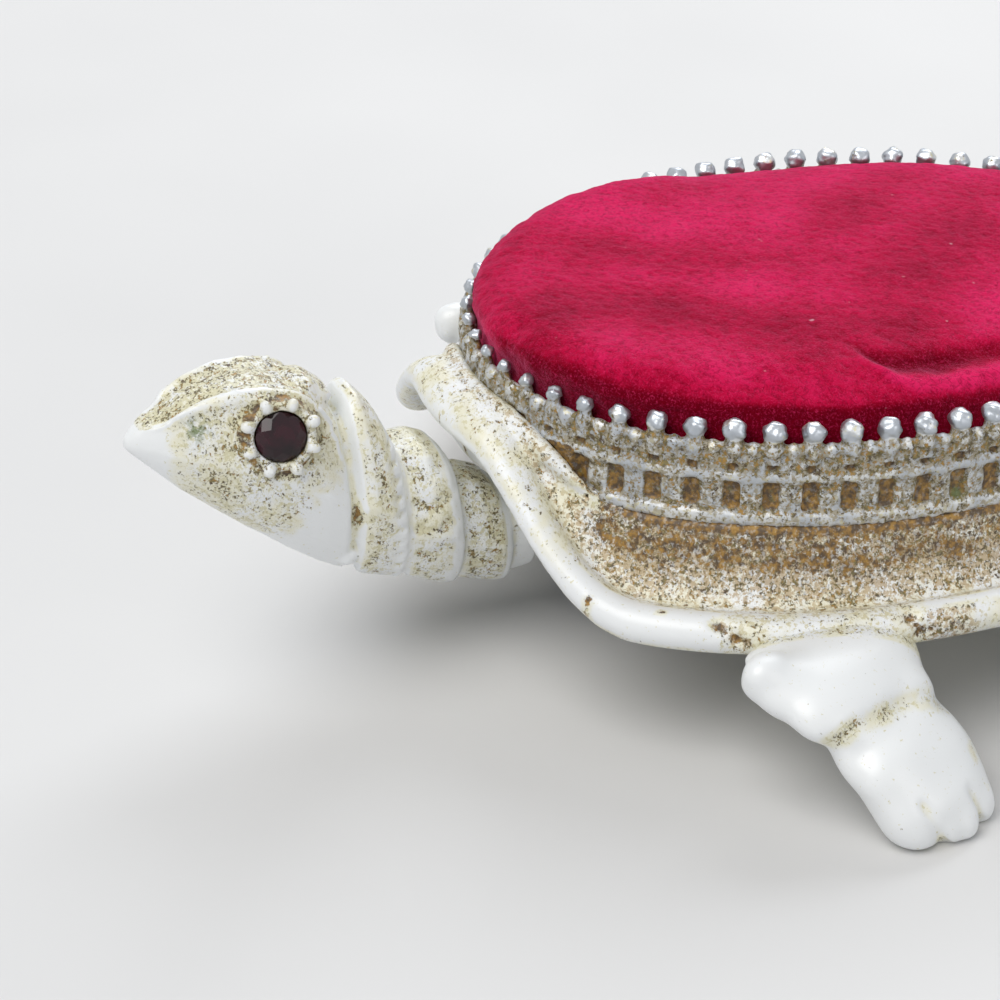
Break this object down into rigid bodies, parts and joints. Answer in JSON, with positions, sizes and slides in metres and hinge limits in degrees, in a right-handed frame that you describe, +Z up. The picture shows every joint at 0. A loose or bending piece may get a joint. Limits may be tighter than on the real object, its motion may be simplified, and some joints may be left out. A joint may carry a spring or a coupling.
{
  "type": "turtle pincushion",
  "caption": "Cast metal turtle with a velvet pincushion pad in a beaded gallery on its back; its head and tail nod on cross pins.",
  "frame": {"origin": "on the table, under the middle of the object's whole length and width", "axes": "-Y towards the beak, +X towards the turtle's left side, +Z up"},
  "size_m": [0.0769, 0.1012, 0.0253],
  "materials": {
    "white_enamel": "satin",
    "old_silver": "satin",
    "red_velvet": "matte",
    "wadding": "matte",
    "card": "matte",
    "garnet_glass": "gloss",
    "lead": "matte",
    "pin_brass": "satin"
  },
  "bodies": {
    "shell": {"shell_casting": "white_enamel", "gallery_strip": "old_silver", "velvet_cover": "red_velvet", "cushion_stuffing": "wadding", "cushion_board": "card", "front_left_leg": "white_enamel", "front_right_leg": "white_enamel", "rear_left_leg": "white_enamel", "rear_right_leg": "white_enamel", "head_pivot_pin": "pin_brass", "tail_pivot_pin": "pin_brass"},
    "head": {"head_casting": "white_enamel", "left_eye_stone": "garnet_glass", "right_eye_stone": "garnet_glass", "head_counterweight": "lead"},
    "tail": {"tail_casting": "white_enamel", "tail_counterweight": "lead"}
  },
  "joints": [
    {"name": "head_nod", "type": "hinge", "parent": "shell", "child": "head", "pos_m": [0, -0.0198, 0.0116], "axis": [1, 0, 0], "range_deg": [-6, 8]},
    {"name": "tail_nod", "type": "hinge", "parent": "shell", "child": "tail", "pos_m": [0, 0.0286, 0.0114], "axis": [1, 0, 0], "range_deg": [-8, 8]}
  ]
}
